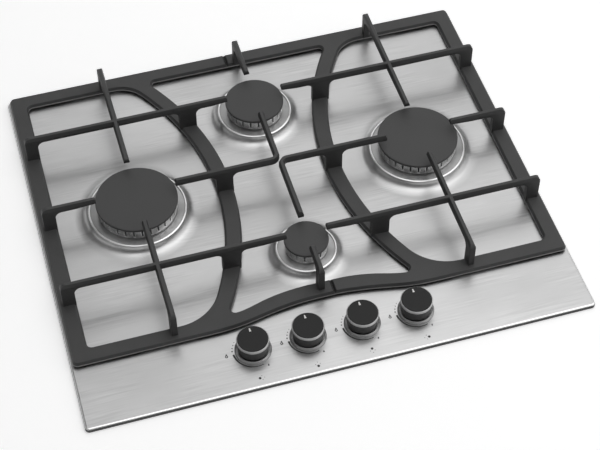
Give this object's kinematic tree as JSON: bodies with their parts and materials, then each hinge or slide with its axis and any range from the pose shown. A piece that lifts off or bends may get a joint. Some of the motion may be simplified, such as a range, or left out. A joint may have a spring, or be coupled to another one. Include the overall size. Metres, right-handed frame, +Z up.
{
  "type": "gas cooktop",
  "caption": "Built-in gas cooktop: brushed steel top, burners in a diamond, a row of front knobs and cast pan supports in halves.",
  "frame": {"origin": "centre of the top plate's outline in plan, on the underside of the bottom tray", "axes": "+X to the user's right, +Y away from the user, +Z up"},
  "size_m": [0.58, 0.495, 0.091],
  "materials": {
    "brushed_steel": "brushed along X",
    "seal_foam": "matt",
    "galvanised_sheet": "galvanised",
    "brass": "machined",
    "ceramic": "glazed",
    "probe_copper": "satin",
    "grey_plastic": "satin",
    "black_plastic": "matt",
    "rail_steel": "zinc plated",
    "pale_plastic": "matt",
    "zinc_screw": "zinc plated",
    "bright_steel": "satin",
    "cast_aluminium": "fine blasted",
    "cap_enamel": "matt enamel",
    "knob_plastic": "satin",
    "ring_chrome": "satin",
    "spindle_steel": "ground",
    "spring_steel": "bright",
    "pipe_aluminium": "drawn",
    "support_iron": "matt enamel",
    "foot_rubber": "matt",
    "lead_silicone": "satin"
  },
  "bodies": {
    "cooktop": {"top_plate": "brushed_steel", "rim_seal": "seal_foam", "bottom_tray": "galvanised_sheet", "injectors": "brass", "igniters": "ceramic", "thermocouples": "probe_copper", "knob_collars": "grey_plastic", "ignition_switches": "black_plastic", "gas_rail": "rail_steel", "inlet_elbow": "brass", "spark_generator": "pale_plastic", "terminal_block": "pale_plastic", "cable_gland": "black_plastic", "worktop_clamps": "galvanised_sheet", "clamp_screws": "zinc_screw", "spark_leads": "lead_silicone", "burner_cup_left": "bright_steel", "burner_cup_right": "bright_steel", "burner_cup_rear": "bright_steel", "burner_cup_front": "bright_steel", "tap_body_left": "brass", "tap_body_front": "brass", "tap_body_rear": "brass", "tap_body_right": "brass", "feed_pipe_left": "pipe_aluminium", "feed_pipe_front": "pipe_aluminium", "feed_pipe_rear": "pipe_aluminium", "feed_pipe_right": "pipe_aluminium"},
    "tap_left": {"tap_plug_left": "brass"},
    "knob_left": {"tap_spindle_left": "spindle_steel", "knob_left": "knob_plastic", "knob_ring_left": "ring_chrome", "tap_spring_left": "spring_steel"},
    "tap_front": {"tap_plug_front": "brass"},
    "knob_front": {"tap_spindle_front": "spindle_steel", "knob_front": "knob_plastic", "knob_ring_front": "ring_chrome", "tap_spring_front": "spring_steel"},
    "tap_rear": {"tap_plug_rear": "brass"},
    "knob_rear": {"tap_spindle_rear": "spindle_steel", "knob_rear": "knob_plastic", "knob_ring_rear": "ring_chrome", "tap_spring_rear": "spring_steel"},
    "tap_right": {"tap_plug_right": "brass"},
    "knob_right": {"tap_spindle_right": "spindle_steel", "knob_right": "knob_plastic", "knob_ring_right": "ring_chrome", "tap_spring_right": "spring_steel"},
    "head_left": {"burner_head_left": "cast_aluminium"},
    "cap_left": {"burner_cap_left": "cap_enamel"},
    "head_right": {"burner_head_right": "cast_aluminium"},
    "cap_right": {"burner_cap_right": "cap_enamel"},
    "head_rear": {"burner_head_rear": "cast_aluminium"},
    "cap_rear": {"burner_cap_rear": "cap_enamel"},
    "head_front": {"burner_head_front": "cast_aluminium"},
    "cap_front": {"burner_cap_front": "cap_enamel"},
    "support_left": {"pan_support_left": "support_iron", "support_feet_left": "foot_rubber"},
    "support_right": {"pan_support_right": "support_iron", "support_feet_right": "foot_rubber"}
  },
  "joints": [
    {"name": "tap_left_turn", "type": "hinge", "parent": "cooktop", "child": "tap_left", "pos_m": [-0.09375, -0.1975, 0.048], "axis": [0, 0, 1], "range_deg": [0, 205]},
    {"name": "knob_left_press", "type": "slide", "parent": "tap_left", "child": "knob_left", "axis": [0, 0, -1], "range_m": [0, 0.0035], "stiffness_N_per_m": 900, "springref_m": -0.0035, "deforming": ["tap_spring_left"]},
    {"name": "tap_front_turn", "type": "hinge", "parent": "cooktop", "child": "tap_front", "pos_m": [-0.03125, -0.1975, 0.048], "axis": [0, 0, 1], "range_deg": [0, 205]},
    {"name": "knob_front_press", "type": "slide", "parent": "tap_front", "child": "knob_front", "axis": [0, 0, -1], "range_m": [0, 0.0035], "stiffness_N_per_m": 900, "springref_m": -0.0035, "deforming": ["tap_spring_front"]},
    {"name": "tap_rear_turn", "type": "hinge", "parent": "cooktop", "child": "tap_rear", "pos_m": [0.03125, -0.1975, 0.048], "axis": [0, 0, 1], "range_deg": [0, 205]},
    {"name": "knob_rear_press", "type": "slide", "parent": "tap_rear", "child": "knob_rear", "axis": [0, 0, -1], "range_m": [0, 0.0035], "stiffness_N_per_m": 900, "springref_m": -0.0035, "deforming": ["tap_spring_rear"]},
    {"name": "tap_right_turn", "type": "hinge", "parent": "cooktop", "child": "tap_right", "pos_m": [0.09375, -0.1975, 0.048], "axis": [0, 0, 1], "range_deg": [0, 205]},
    {"name": "knob_right_press", "type": "slide", "parent": "tap_right", "child": "knob_right", "axis": [0, 0, -1], "range_m": [0, 0.0035], "stiffness_N_per_m": 900, "springref_m": -0.0035, "deforming": ["tap_spring_right"]},
    {"name": "head_left_lift", "type": "slide", "parent": "cooktop", "child": "head_left", "axis": [0, 0, 1], "range_m": [0, 0.004]},
    {"name": "cap_left_lift", "type": "slide", "parent": "head_left", "child": "cap_left", "axis": [0, 0, 1], "range_m": [0, 0.0045]},
    {"name": "head_right_lift", "type": "slide", "parent": "cooktop", "child": "head_right", "axis": [0, 0, 1], "range_m": [0, 0.004]},
    {"name": "cap_right_lift", "type": "slide", "parent": "head_right", "child": "cap_right", "axis": [0, 0, 1], "range_m": [0, 0.0045]},
    {"name": "head_rear_lift", "type": "slide", "parent": "cooktop", "child": "head_rear", "axis": [0, 0, 1], "range_m": [0, 0.004]},
    {"name": "cap_rear_lift", "type": "slide", "parent": "head_rear", "child": "cap_rear", "axis": [0, 0, 1], "range_m": [0, 0.0045]},
    {"name": "head_front_lift", "type": "slide", "parent": "cooktop", "child": "head_front", "axis": [0, 0, 1], "range_m": [0, 0.004]},
    {"name": "cap_front_lift", "type": "slide", "parent": "head_front", "child": "cap_front", "axis": [0, 0, 1], "range_m": [0, 0.0045]},
    {"name": "support_left_lift", "type": "slide", "parent": "cooktop", "child": "support_left", "axis": [0, 0, 1], "range_m": [0, 0.06]},
    {"name": "support_right_lift", "type": "slide", "parent": "cooktop", "child": "support_right", "axis": [0, 0, 1], "range_m": [0, 0.06]}
  ]
}
